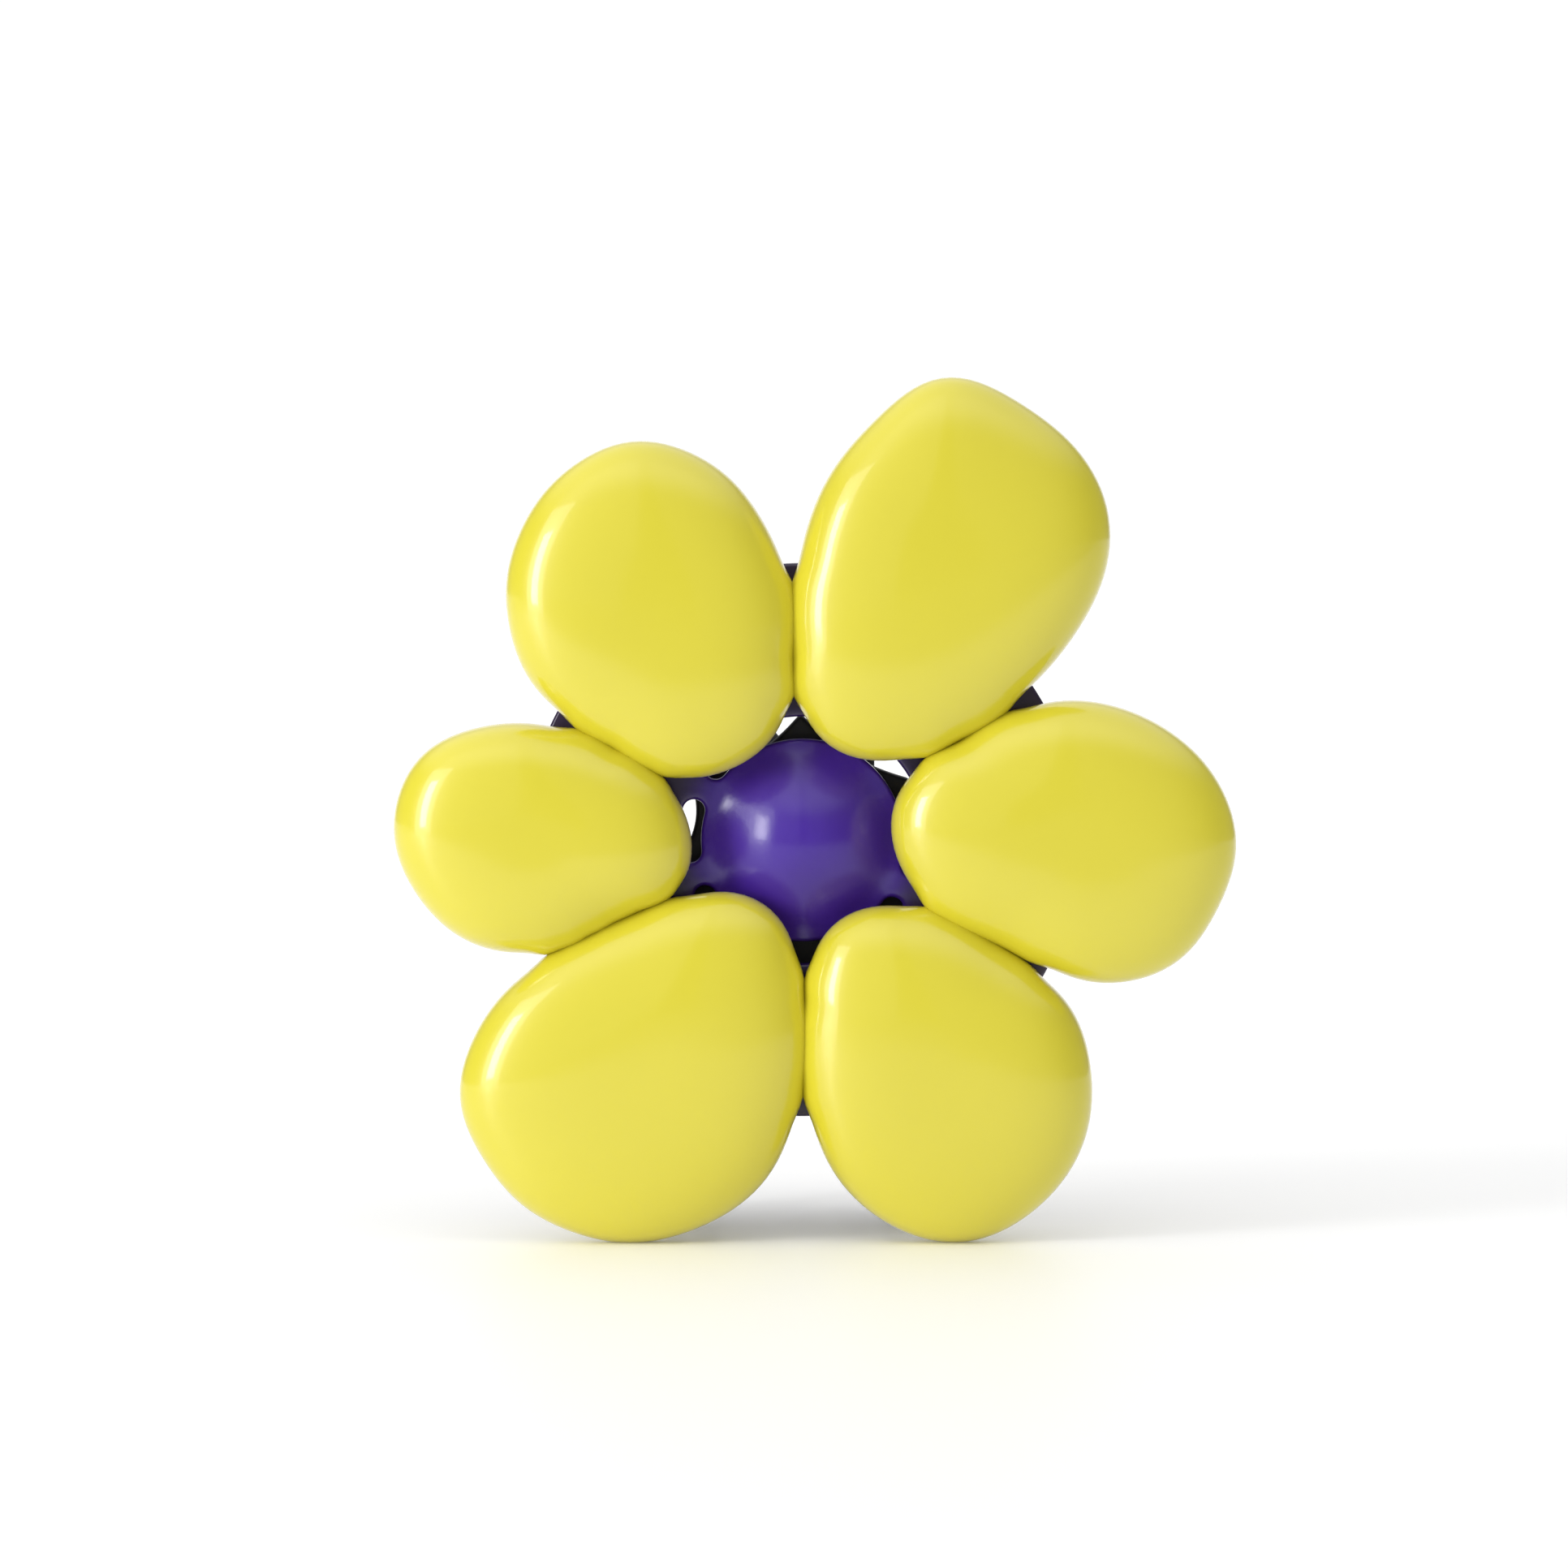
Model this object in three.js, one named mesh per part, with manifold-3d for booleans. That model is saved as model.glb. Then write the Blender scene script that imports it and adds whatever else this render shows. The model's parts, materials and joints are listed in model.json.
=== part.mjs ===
// A flower hair claw, in millimetres, +Z up. The flower faces -Y and stands on its two lower petals
// and the outer teeth of the front jaw. The rear jaw swings on a pin behind the hub.
import * as THREE from 'three';
import { mergeVertices } from 'three/addons/utils/BufferGeometryUtils.js';
import Module from 'manifold-3d';

const wasm = await Module();
wasm.setup();

// Driving dimensions. Until the last lines the origin is the middle of the hub's front face.
const gap = 0.3;
const ring = { outer: 30, inner: 13.4, thick: 2.6 };
const hub = { radius: 11, foot: 10.9, steepness: 0.118, hollowRadius: 4.6, wall: 1.8 };
const slotMid = (ring.inner + hub.radius) / 2;
const slotHalf = (ring.inner - hub.radius) / 2;
const webs = { angles: [-25, 152.5, 198], width: 2.8 };

const petal = { depth: 6, backDepth: 2.4, wall: 1.6, sides: 24, parting: -3, radius: 16, clearance: 0.1 };
const pillowPower = { plan: 3.4, face: 2.2 };
const peg = { radius: 0.9, headRadius: 1.7, headHeight: 1, near: 18, far: 25.5 };

const hinge = { y: 13, z: 2.5, barrel: 2.8, bore: 1.3 };
const flange = { thick: 2, lowerRadius: 14.6 };
const frontLug = { inner: 7.2, outer: 9.6 };
const rearLug = { inner: 4.7, outer: 6.9 };
const claw = {
  y: 20.3, z: -14, halfDepth: 14.4, shellHeight: 28.5, thick: 2.2, tipThick: 1.3, halfWidth: 19,
};
const tooth = { pitch: 7, thick: 3, overreach: 35, outer: 17.5, arch: 13, archPower: 1.45, lift: 0.85 };
const floorZ = -43.4;

const pin = { radius: 1, head: 1.7, half: 9.9, headThick: 0.6, retainer: 1.9, reach: 12 };
const spring = { wire: 0.5, radius: 2.4, halfLength: 3.6, turns: 5 };
const screw = { circle: 7.8, angles: [90, 235, 305], shank: 0.9, head: 1.8, headHeight: 1.2, length: 4.2 };

const lever = { lean: 25.6, halfWidth: 8, padHalfWidth: 12.5, padBottom: 19.5, top: 28.6, corner: 4 };
const leverSlot = { half: 3.4, bottom: 9.2, top: 18.4 };
const grip = { ribs: 3, pitch: 1.6, radius: 0.45, half: 9.5, belowTop: 1.6 };

const flangeBack = ring.thick + gap + flange.thick;

// Materials, one per kind of piece.
const yellow = new THREE.MeshStandardMaterial({ color: 0xdfd448, roughness: 0.12, metalness: 0 });
const purple = new THREE.MeshStandardMaterial({ color: 0x432a6e, roughness: 0.4, metalness: 0 });
const black = new THREE.MeshStandardMaterial({ color: 0x121214, roughness: 0.45, metalness: 0 });
const steel = new THREE.MeshStandardMaterial({ color: 0xb9bcc0, roughness: 0.3, metalness: 1 });

const group = new THREE.Group();
const flower = new THREE.Group();
const frontClaw = new THREE.Group();
const rearClaw = new THREE.Group();
group.add(flower, frontClaw, rearClaw);

function addMesh(parent, name, geometry, material) {
  const mesh = new THREE.Mesh(geometry, material.clone());
  mesh.name = name;
  parent.add(mesh);
}

// Solids: a closed three.js geometry becomes a manifold, and comes back once it has been cut.
function toSolid(geometry) {
  const bare = geometry.clone();
  bare.deleteAttribute('normal');
  bare.deleteAttribute('uv');
  const merged = mergeVertices(bare, 1e-4);
  const index = Array.from(merged.index.array);
  const triVerts = [];
  for (let i = 0; i < index.length; i += 3) {
    const [a, b, c] = index.slice(i, i + 3);
    if (a !== b && b !== c && c !== a) triVerts.push(a, b, c);
  }
  const vertProperties = new Float32Array(merged.attributes.position.array);
  const mesh = new wasm.Mesh({ numProp: 3, vertProperties, triVerts: new Uint32Array(triVerts) });
  return new wasm.Manifold(mesh);
}

function toGeometry(solid) {
  const mesh = solid.getMesh();
  const geometry = new THREE.BufferGeometry();
  geometry.setAttribute('position', new THREE.BufferAttribute(new Float32Array(mesh.vertProperties), 3));
  geometry.setIndex(new THREE.BufferAttribute(new Uint32Array(mesh.triVerts), 1));
  geometry.computeVertexNormals();
  return geometry;
}

function joined(solids) {
  return solids.reduce((whole, solid) => whole.add(solid));
}

function cutBy(solid, cutters) {
  return cutters.reduce((left, cutter) => left.subtract(cutter), solid);
}

// A shape drawn in (x, z), pushed from y = from to y = to.
function alongY(shape, from, to, curveSegments = 8) {
  const options = { depth: to - from, bevelEnabled: false, curveSegments };
  const geometry = new THREE.ExtrudeGeometry(shape, options);
  return geometry.rotateX(Math.PI / 2).translate(0, to, 0);
}

// A shape drawn in (y, z), pushed from x = from to x = to.
const shapeToYZ = new THREE.Matrix4().makeBasis(
  new THREE.Vector3(0, 1, 0), new THREE.Vector3(0, 0, 1), new THREE.Vector3(1, 0, 0));

function alongX(shape, from, to, curveSegments = 8) {
  const options = { depth: to - from, bevelEnabled: false, curveSegments };
  const geometry = new THREE.ExtrudeGeometry(shape, options);
  return geometry.applyMatrix4(shapeToYZ).translate(from, 0, 0);
}

function rodY(x, z, radius, from, to, sides = 12) {
  return new THREE.CylinderGeometry(radius, radius, to - from, sides).translate(x, (from + to) / 2, z);
}

function rodX(y, z, radius, from, to, sides = 20) {
  const rod = new THREE.CylinderGeometry(radius, radius, to - from, sides);
  return rod.rotateZ(-Math.PI / 2).translate((from + to) / 2, y, z);
}

// A strip of varying thickness that follows a centre line in (y, z), with a rounded far end.
function strip(points, thickAt) {
  const left = [];
  const right = [];
  points.forEach((point, i) => {
    const before = points[Math.max(i - 1, 0)];
    const after = points[Math.min(i + 1, points.length - 1)];
    const normal = after.clone().sub(before).normalize().rotateAround(new THREE.Vector2(), Math.PI / 2);
    const half = thickAt(i / (points.length - 1)) / 2;
    left.push(point.clone().addScaledVector(normal, half));
    right.push(point.clone().addScaledVector(normal, -half));
  });
  const last = points[points.length - 1];
  const along = last.clone().sub(points[points.length - 2]).normalize();
  const nose = last.clone().addScaledVector(along, thickAt(1) * 0.45);
  return new THREE.Shape([...right, nose, ...left.reverse()]);
}

const polar = (radius, degrees) => {
  const angle = THREE.MathUtils.degToRad(degrees);
  return [radius * Math.cos(angle), radius * Math.sin(angle)];
};

// The plate: a flat ring and a hub disc, joined by three webs across the slot between them.
function arcPoints(radius, from, to, steps, middle = [0, 0]) {
  return Array.from({ length: steps + 1 }, (_, i) => {
    const [x, z] = polar(radius, from + (to - from) * i / steps);
    return new THREE.Vector2(x + middle[0], z + middle[1]);
  });
}

function slotBetween(fromWeb, toWeb) {
  const half = THREE.MathUtils.radToDeg((webs.width / 2 + slotHalf) / slotMid);
  const from = fromWeb + half;
  const to = toWeb - half;
  const steps = Math.ceil((to - from) / 9);
  return new THREE.Path([
    ...arcPoints(ring.inner, from, to, steps),
    ...arcPoints(slotHalf, to, to + 180, 6, polar(slotMid, to)).slice(1, -1),
    ...arcPoints(hub.radius, to, from, steps),
    ...arcPoints(slotHalf, from + 180, from + 360, 6, polar(slotMid, from)).slice(1, -1),
  ]);
}

function turned(path, sides = 32) {
  return toSolid(new THREE.LatheGeometry(path.getPoints(4), sides));
}

// The hub swells into a bell: its slope grows as steepness * r and dies away at the foot.
function bellHeight(radius) {
  return hub.steepness * (hub.foot ** 2 / 3 - radius ** 2 / 2 + radius ** 6 / (6 * hub.foot ** 4));
}

function hubBell() {
  const steps = 11;
  const buried = 0.05;
  const profile = Array.from({ length: steps + 1 }, (_, i) => {
    const radius = hub.foot * i / steps;
    return new THREE.Vector2(radius, buried - bellHeight(radius));
  });
  profile.push(new THREE.Vector2(hub.foot, 1), new THREE.Vector2(0, 1));
  return toSolid(new THREE.LatheGeometry(profile, 32));
}

function hubHollow() {
  const profile = new THREE.Path();
  const top = hub.wall - bellHeight(0);
  profile.moveTo(0, top);
  profile.quadraticCurveTo(hub.hollowRadius * 0.8, top, hub.hollowRadius, -1);
  profile.lineTo(hub.hollowRadius, ring.thick + 1);
  profile.lineTo(0, ring.thick + 1);
  return turned(profile, 24);
}

function flowerPlate(pegSpots) {
  const face = new THREE.Shape(arcPoints(ring.outer, 0, 360, 72).slice(0, -1));
  const [low, upper, side] = webs.angles;
  face.holes.push(slotBetween(low, upper), slotBetween(upper, side), slotBetween(side, low + 360));
  const plate = toSolid(alongY(face, 0, ring.thick)).add(hubBell());
  const pegHoles = pegSpots.map(([x, z]) => toSolid(rodY(x, z, peg.radius + gap, -1, ring.thick + 1)));
  const screwHoles = screw.angles.map((angle) => {
    const [x, z] = polar(screw.circle, angle);
    return toSolid(rodY(x, z, screw.shank + gap, 0.8, ring.thick + 1));
  });
  return toGeometry(cutBy(plate, [hubHollow(), ...pegHoles, ...screwHoles]));
}

// Petals: each outline is a closed smooth curve through a few points, in (x, z).
const petals = [
  { name: 'petal_upper_right', pegAngle: 58, outline: [[-0.8, 17.2], [-0.8, 26.8], [0.8, 35], [5.6, 43.2],
    [15.6, 50.1], [29.2, 42.7], [33.1, 34.4], [31.8, 26.8], [25.6, 17.7], [14.6, 10],
    [6.6, 8.8], [1.7, 11.3]] },
  { name: 'petal_right', pegAngle: 0, outline: [[46.8, 0.2], [44.2, 7.5], [36.8, 13.5], [27.4, 15.2],
    [17.8, 11.2], [10.8, 6.2], [9.6, 0.3], [13, -6.3], [22.5, -11.5], [32, -15.3],
    [40.6, -12.9], [45.8, -5]] },
  { name: 'petal_lower_right', pegAngle: -58, outline: [[31.3, -25.8], [28.9, -17.8], [21.5, -11.7],
    [13.4, -7.5], [6, -7.3], [1.4, -11.5], [0.4, -17], [0.3, -26.8], [3, -35.2], [8.8, -41.1], [17, -43.4],
    [24.6, -40.3], [30, -33.6]] },
  { name: 'petal_lower_left', pegAngle: -122, outline: [[-37.1, -26.5], [-33.4, -17.6], [-26.5, -12],
    [-17, -7.6], [-8.6, -5.3], [-2.9, -7.7], [-0.2, -14.5], [-0.1, -26.8], [-4.2, -36.9], [-11.5, -41.9],
    [-20, -43.4], [-30, -39.6], [-35.8, -32]] },
  { name: 'petal_left', pegAngle: 180, outline: [[-44.1, 2.2], [-41, 9.4], [-33, 12.7], [-24.6, 11.8],
    [-16.5, 7.7], [-12.6, 3], [-12.6, -3.9], [-19, -7.7], [-28.4, -11.9], [-36.4, -10.6], [-42.2, -4.8]] },
  { name: 'petal_upper_left', pegAngle: 124, outline: [[-1.3, 16.6], [-1.3, 26.4], [-3.4, 33], [-9, 40.2],
    [-18, 43.2], [-26.8, 38.8], [-31.8, 29], [-29.9, 18.2], [-22.6, 11.5], [-11.9, 6.8], [-3.6, 10.6]] },
];

// A bowl turned on the lathe at radius 1, then stretched outwards until its rim is the outline, less
// the clearance that keeps neighbouring petals apart.
function bowl(outline, profile) {
  const curve = new THREE.CatmullRomCurve3(outline.map(([x, z]) => new THREE.Vector3(x, 0, z)), true);
  const rim = curve.getSpacedPoints(petal.sides);
  const middle = new THREE.Vector3();
  rim.slice(1).forEach((point) => middle.addScaledVector(point, 1 / petal.sides));
  const clockwise = rim[0].clone().sub(middle).cross(rim[1].clone().sub(middle)).y < 0;
  const geometry = new THREE.LatheGeometry(profile, petal.sides);
  const position = geometry.attributes.position;
  for (let i = 0; i < position.count; i++) {
    const side = Math.floor(i / profile.length) % petal.sides;
    const target = rim[clockwise ? petal.sides - side : side];
    const radius = Math.hypot(position.getX(i), position.getZ(i)) * (1 - petal.clearance / petal.radius);
    const x = middle.x + radius * (target.x - middle.x);
    const z = middle.z + radius * (target.z - middle.z);
    position.setXYZ(i, x, position.getY(i), z);
  }
  return geometry;
}

// Pillow section: unit radius at the parting line, easing over into a gently domed face.
function pillow(depth, steps) {
  return Array.from({ length: steps + 1 }, (_, i) => {
    const angle = (i / steps) * Math.PI / 2;
    const radius = Math.cos(angle) ** (2 / pillowPower.plan);
    return new THREE.Vector2(radius, petal.parting - depth * Math.sin(angle) ** (2 / pillowPower.face));
  });
}

function petalFront(outline) {
  const inset = 1 - petal.wall / petal.radius;
  const outer = pillow(petal.depth, 5);
  const inner = pillow(petal.depth - petal.wall, 3);
  inner.forEach((point) => point.setX(point.x * inset));
  outer[outer.length - 1].x = 0;
  inner[inner.length - 1].x = 0;
  return toGeometry(toSolid(bowl(outline, [...outer.reverse(), ...inner])));
}

function pegSpots(pegAngle) {
  return [polar(peg.near, pegAngle), polar(peg.far, pegAngle)];
}

function petalBack(outline, pegAngle) {
  const open = petal.parting + gap;
  const inset = 1 - petal.wall / petal.radius;
  const base = open + petal.backDepth;
  const profile = [[0, open + 1], [inset - 0.08, open + 1], [inset, open], [1, open], [0.985, open + 1.1],
    [0.92, open + 2], [0.82, base], [0, base]].map(([r, y]) => new THREE.Vector2(r, y));
  const staked = pegSpots(pegAngle).flatMap(([x, z]) => [
    toSolid(rodY(x, z, peg.radius, base - 0.5, ring.thick + gap + 0.5, 10)),
    toSolid(rodY(x, z, peg.headRadius, ring.thick + gap, ring.thick + gap + peg.headHeight, 12)),
  ]);
  return toGeometry(joined([toSolid(bowl(outline, profile)), ...staked]));
}

addMesh(flower, 'flower_plate', flowerPlate(petals.flatMap(({ pegAngle }) => pegSpots(pegAngle))), purple);
petals.forEach(({ name, pegAngle, outline }) => {
  addMesh(flower, `${name}_front`, petalFront(outline), yellow);
  addMesh(flower, `${name}_back`, petalBack(outline, pegAngle), yellow);
});

// Teeth: strips on an ellipse that closes the claw underneath. Outer teeth are the longer ones.
function toothBottom(x) {
  const inwards = 1 - Math.min(Math.abs(x) / tooth.outer, 1);
  return floorZ + tooth.arch * inwards ** tooth.archPower;
}

function ellipsePoint(side, degrees, height) {
  const angle = THREE.MathUtils.degToRad(degrees);
  const y = claw.y + side * claw.halfDepth * Math.cos(angle);
  return new THREE.Vector2(y, claw.z - height * Math.sin(angle));
}

function clawTooth(side, x) {
  const height = claw.z - toothBottom(x) - tooth.lift;
  const points = [];
  for (let angle = 0; angle <= 90 + tooth.overreach; angle += 12.5) {
    points.push(ellipsePoint(side, Math.min(angle, 90 + tooth.overreach), height));
  }
  const shape = strip(points, (t) => THREE.MathUtils.lerp(claw.thick, claw.tipThick, t));
  return toSolid(alongX(shape, x - tooth.thick / 2, x + tooth.thick / 2));
}

function teethAt(side, count) {
  const first = -tooth.pitch * (count - 1) / 2;
  return Array.from({ length: count }, (_, i) => clawTooth(side, first + i * tooth.pitch));
}

// The comb's outline in (x, z): a neck that flares to the full width, with an arched lower edge.
function combOutline(top, neck) {
  const half = claw.halfWidth;
  const shape = new THREE.Shape();
  shape.moveTo(-neck, top);
  shape.bezierCurveTo(-neck, claw.z + 2, -half, claw.z + 3, -half, claw.z - 5);
  shape.lineTo(-half, claw.z - 9);
  shape.quadraticCurveTo(-half / 2, claw.z - 4.5, 0, claw.z - 4);
  shape.quadraticCurveTo(half / 2, claw.z - 4.5, half, claw.z - 9);
  shape.lineTo(half, claw.z - 5);
  shape.bezierCurveTo(half, claw.z + 3, neck, claw.z + 2, neck, top);
  return shape;
}

function barrelRing(from, to, arm) {
  const ringSolid = toSolid(rodX(hinge.y, hinge.z, hinge.barrel, from, to));
  const armShape = new THREE.Shape(arm.map(([y, z]) => new THREE.Vector2(y, z)));
  return ringSolid.add(toSolid(alongX(armShape, from, to)));
}

const pinBore = () => toSolid(rodX(hinge.y, hinge.z, hinge.bore, -pin.reach, pin.reach));

// Front jaw: a flange with three pointed, hollow-sided tips above and a round foot below.
function flangeOutline() {
  const shape = new THREE.Shape();
  const rightFoot = polar(flange.lowerRadius, -30);
  shape.moveTo(...rightFoot);
  shape.quadraticCurveTo(8.4, -2.5, 11.9, 6.5);
  shape.quadraticCurveTo(4.5, 8.3, -0.2, 13.7);
  shape.quadraticCurveTo(-4.5, 8.2, -12.3, 6.4);
  shape.quadraticCurveTo(-10.4, 2.2, ...polar(13.4, 188));
  const [from, to] = [194, 330].map(THREE.MathUtils.degToRad);
  shape.absarc(0, 0, flange.lowerRadius, from, to, false);
  return shape;
}

function frontJaw() {
  const front = ring.thick + gap;
  const plate = toSolid(alongY(flangeOutline(), front, flangeBack, 6));
  const shellLine = [new THREE.Vector2(claw.y - claw.halfDepth, -8.4)];
  for (let angle = 0; angle <= 30; angle += 10) shellLine.push(ellipsePoint(-1, angle, claw.shellHeight));
  const band = toSolid(alongX(strip(shellLine, () => claw.thick), -claw.halfWidth - 1, claw.halfWidth + 1));
  const shell = band.intersect(toSolid(alongY(combOutline(-8.4, 10), 0, 30, 5)));
  const armPoints = [[flangeBack - 0.4, hinge.z - 6.5], [hinge.y, hinge.z - hinge.barrel],
    [hinge.y, hinge.z + hinge.barrel], [flangeBack - 0.4, hinge.z + hinge.barrel]];
  const lugs = [-1, 1].map((side) => {
    const ends = [side * frontLug.inner, side * frontLug.outer].sort((a, b) => a - b);
    return barrelRing(...ends, armPoints);
  });
  const solid = joined([plate, shell, ...lugs, ...teethAt(-1, 6)]);
  const screwHoles = screw.angles.map((angle) => {
    const [x, z] = polar(screw.circle, angle);
    return toSolid(rodY(x, z, screw.shank + gap, 0, flangeBack + 3));
  });
  return toGeometry(cutBy(solid, [pinBore(), ...screwHoles]));
}

addMesh(frontClaw, 'front_jaw', frontJaw(), black);

// Rear jaw: thumb lever, two hinge barrels and a comb, all one moulding.
const leverLean = THREE.MathUtils.degToRad(lever.lean);
const leverDir = new THREE.Vector2(Math.sin(leverLean), Math.cos(leverLean));
const leverFoot = new THREE.Vector2(17.6, 6.2);
const leverLength = (lever.top - leverFoot.y) / leverDir.y;

function rearOutline() {
  const { halfWidth: half, padHalfWidth: pad, padBottom, top, corner } = lever;
  const shape = new THREE.Shape();
  shape.moveTo(half, -4);
  shape.lineTo(half, padBottom - corner);
  shape.quadraticCurveTo(half, padBottom, pad, padBottom + 1);
  shape.lineTo(pad, top - corner);
  shape.quadraticCurveTo(pad, top + 1, 0, top + 1);
  shape.quadraticCurveTo(-pad, top + 1, -pad, top - corner);
  shape.lineTo(-pad, padBottom + 1);
  shape.quadraticCurveTo(-half, padBottom, -half, padBottom - corner);
  shape.lineTo(-half, -4);
  return shape;
}

function stadium(half, bottom, top) {
  const shape = new THREE.Shape();
  shape.absarc(0, top - half, half, 0, Math.PI, false);
  shape.absarc(0, bottom + half, half, Math.PI, 2 * Math.PI, false);
  return shape;
}

function rearJaw() {
  const sCurve = [[17.6, 1.5], [20.2, -3.4], [27, -6], [33.2, -9.4]];
  const bendPoints = sCurve.map(([y, z]) => new THREE.Vector2(y, z));
  const bend = new THREE.SplineCurve([leverFoot, ...bendPoints, ellipsePoint(1, 0, claw.shellHeight)]);
  const line = [leverFoot.clone().addScaledVector(leverDir, leverLength), ...bend.getPoints(14)];
  for (let angle = 10; angle <= 30; angle += 10) line.push(ellipsePoint(1, angle, claw.shellHeight));
  const band = toSolid(alongX(strip(line, () => claw.thick), -claw.halfWidth - 1, claw.halfWidth + 1));
  const arm = band.intersect(toSolid(alongY(rearOutline(), 0, 60, 6)));
  const comb = band.intersect(toSolid(alongY(combOutline(-3.9, lever.halfWidth), 0, 60, 5)));
  const armPoints = [[hinge.y, hinge.z - hinge.barrel], [18, hinge.z - 3.4], [18, hinge.z + 3.4],
    [hinge.y, hinge.z + hinge.barrel]];
  const lugs = [-1, 1].map((side) => {
    const ends = [side * rearLug.inner, side * rearLug.outer].sort((a, b) => a - b);
    return barrelRing(...ends, armPoints);
  });
  const ribs = Array.from({ length: grip.ribs }, (_, i) => {
    const spot = leverFoot.clone().addScaledVector(leverDir, leverLength - grip.belowTop - i * grip.pitch);
    const face = spot.add(new THREE.Vector2(leverDir.y, -leverDir.x).multiplyScalar(claw.thick / 2));
    return toSolid(rodX(face.x, face.y, grip.radius, -grip.half, grip.half, 8));
  });
  const solid = joined([arm, comb, ...lugs, ...ribs, ...teethAt(1, 5)]);
  const opening = toSolid(alongY(stadium(leverSlot.half, leverSlot.bottom, leverSlot.top), 0, 60, 8));
  return toGeometry(cutBy(solid, [pinBore(), opening]));
}

addMesh(rearClaw, 'rear_jaw', rearJaw(), black);

// Pin, its retainer and the spring coiled round it.
function hingePin() {
  const end = pin.half + pin.headThick + 0.2;
  const shaft = toSolid(rodX(hinge.y, hinge.z, pin.radius, -pin.half - 0.3, end, 16));
  const head = toSolid(rodX(hinge.y, hinge.z, pin.head, -pin.half - pin.headThick, -pin.half, 20));
  return toGeometry(shaft.add(head));
}

function pinRetainer() {
  const washer = toSolid(rodX(hinge.y, hinge.z, pin.retainer, pin.half, pin.half + pin.headThick, 20));
  return toGeometry(washer.subtract(pinBore()));
}

// The wire leaves the flange, winds round the pin and ends against the lever.
function torsionSpring() {
  const from = 212.5;
  const to = 349 + 360 * spring.turns;
  const steps = 10 * spring.turns;
  const half = spring.halfLength;
  const points = [new THREE.Vector3(-half, 6, 9), new THREE.Vector3(-half, 8.5, 5.1)];
  for (let i = 0; i <= steps; i++) {
    const [y, z] = polar(spring.radius, from + (to - from) * i / steps);
    const x = THREE.MathUtils.lerp(-half, half, i / steps);
    points.push(new THREE.Vector3(x, hinge.y + y, hinge.z + z));
  }
  points.push(new THREE.Vector3(half, 15.6, 5), new THREE.Vector3(half, 15.9, 8));
  const path = new THREE.CatmullRomCurve3(points, false, 'centripetal');
  const section = new THREE.Shape().absarc(0, 0, spring.wire, 0, 2 * Math.PI, false);
  const options = { steps: 72, extrudePath: path, bevelEnabled: false, curveSegments: 3 };
  return new THREE.ExtrudeGeometry(section, options);
}

addMesh(frontClaw, 'hinge_pin', hingePin(), steel);
addMesh(frontClaw, 'pin_retainer', pinRetainer(), steel);
addMesh(frontClaw, 'torsion_spring', torsionSpring(), steel);

function mountScrew(angle) {
  const [x, z] = polar(screw.circle, angle);
  const under = flangeBack + gap;
  const top = under + 0.2;
  const shank = toSolid(rodY(x, z, screw.shank, top - screw.length, top, 12));
  return toGeometry(shank.add(toSolid(rodY(x, z, screw.head, under, under + screw.headHeight, 16))));
}

screw.angles.forEach((angle, i) => addMesh(frontClaw, `mount_screw_${i + 1}`, mountScrew(angle), steel));

// Stand the whole on z = 0, centred over the origin.
const bounds = new THREE.Box3().setFromObject(group);
const centre = bounds.getCenter(new THREE.Vector3());
group.position.set(-centre.x, -centre.y, -bounds.min.z);

export default group;
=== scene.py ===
# Flower hair clip: glossy petals on a domed plate, with a sprung claw behind.
import json
import math
import bmesh
import bpy
import numpy as np
from mathutils import Matrix, Vector, geometry


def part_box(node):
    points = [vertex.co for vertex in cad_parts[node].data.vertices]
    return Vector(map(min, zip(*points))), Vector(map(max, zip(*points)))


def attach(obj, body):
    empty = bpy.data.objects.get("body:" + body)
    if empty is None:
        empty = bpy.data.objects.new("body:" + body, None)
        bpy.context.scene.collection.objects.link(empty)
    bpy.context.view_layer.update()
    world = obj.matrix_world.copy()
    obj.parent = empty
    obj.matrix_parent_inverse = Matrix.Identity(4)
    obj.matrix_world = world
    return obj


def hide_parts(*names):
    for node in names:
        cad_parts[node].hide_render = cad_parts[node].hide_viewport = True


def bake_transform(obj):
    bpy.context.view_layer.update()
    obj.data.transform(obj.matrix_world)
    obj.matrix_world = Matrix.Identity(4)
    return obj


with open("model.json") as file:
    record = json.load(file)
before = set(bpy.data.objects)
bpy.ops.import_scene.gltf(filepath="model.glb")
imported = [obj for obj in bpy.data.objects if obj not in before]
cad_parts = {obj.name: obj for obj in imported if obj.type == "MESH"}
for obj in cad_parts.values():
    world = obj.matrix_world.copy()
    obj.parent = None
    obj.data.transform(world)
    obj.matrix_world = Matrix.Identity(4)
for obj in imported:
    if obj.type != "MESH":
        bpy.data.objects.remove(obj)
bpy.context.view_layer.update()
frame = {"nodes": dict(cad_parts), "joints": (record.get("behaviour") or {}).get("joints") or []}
mm = 0.001
mergeWithin = 0.002 * mm

# Places come from the frame: the middle of the hub's front face, and the hinge.
plateLow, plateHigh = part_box("flower_plate")
plate = {"outer": 30.0, "inner": 13.4, "hub": 11.0, "thick": 2.6, "edge": 0.45, "webWidth": 2.8,
         "webs": (-25.0, 152.5, 198.0), "spacing": 0.75}
hubSpot = np.array([(plateLow.x + plateHigh.x) / 2, plateHigh.y - plate["thick"] * mm,
                    (plateLow.z + plateHigh.z) / 2])
hinge = (np.array(frame["joints"][0]["pos_m"]) - hubSpot) / mm
petalNames = ["petal_upper_right", "petal_right", "petal_lower_right", "petal_lower_left", "petal_left",
              "petal_upper_left"]
frontBody, rearBody = "front_half", "rear_half"


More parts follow.
